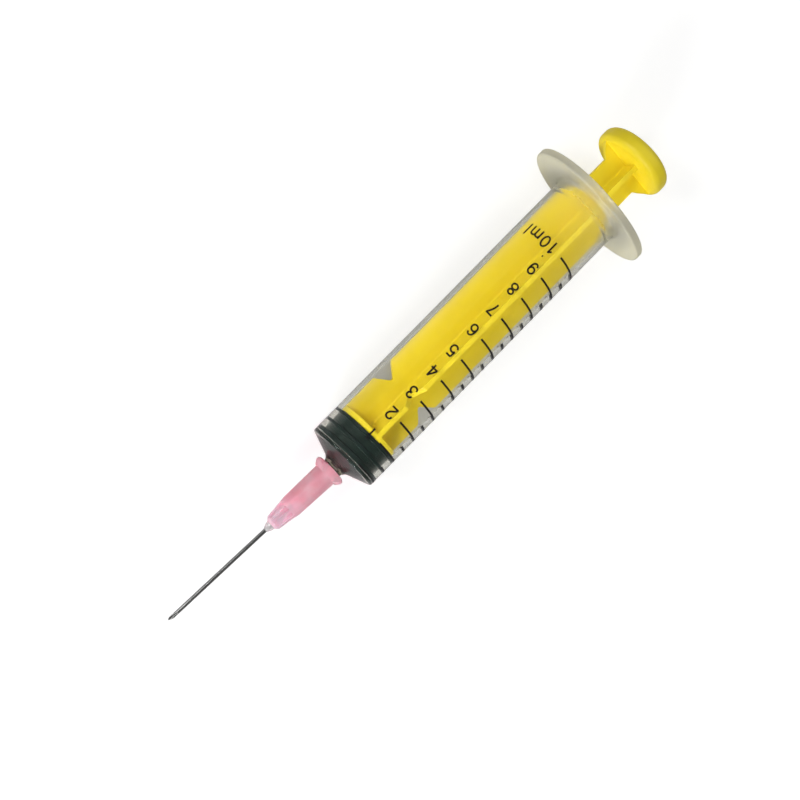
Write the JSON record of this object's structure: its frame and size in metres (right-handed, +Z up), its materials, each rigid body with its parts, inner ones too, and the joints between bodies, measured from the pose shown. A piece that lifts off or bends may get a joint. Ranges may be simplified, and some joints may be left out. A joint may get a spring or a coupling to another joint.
{
  "type": "luer slip syringe with needle",
  "caption": "Clear disposable syringe with a slip tip, black gasket, yellow ribbed plunger rod and a push-on hypodermic needle in a pink hub, lying on its side.",
  "frame": {"origin": "on the floor, under the middle of the overall length and width", "axes": "+X along the syringe from the needle to the thumb rest, +Y along the long side of the finger flange, +Z up"},
  "size_m": [0.14, 0.0312, 0.0212],
  "materials": {
    "clear_pp": "clear, slightly frosted polypropylene",
    "black_rubber": "smooth, siliconed",
    "yellow_pp": "satin moulded polypropylene",
    "pink_pp": "translucent polypropylene",
    "steel": "drawn stainless steel",
    "adhesive": "cured clear adhesive"
  },
  "bodies": {
    "barrel": {"barrel": "clear_pp"},
    "gasket": {"gasket": "black_rubber"},
    "plunger": {"plunger_rod": "yellow_pp"},
    "needle": {"needle_hub": "pink_pp", "cannula": "steel", "cannula_adhesive": "adhesive"}
  },
  "joints": [
    {"name": "plunger_travel", "type": "slide", "parent": "barrel", "child": "gasket", "axis": [0.9995, 0, 0.0314], "range_m": [0, 0.0647]},
    {"name": "rod_turn", "type": "hinge", "parent": "gasket", "child": "plunger", "pos_m": [-0.01846, 0, 0.00834], "axis": [0.9995, 0, 0.0314], "continuous": true},
    {"name": "needle_pull_off", "type": "slide", "parent": "barrel", "child": "needle", "axis": [-0.9984, 0.0471, -0.0313], "range_m": [0, 0.014]}
  ]
}
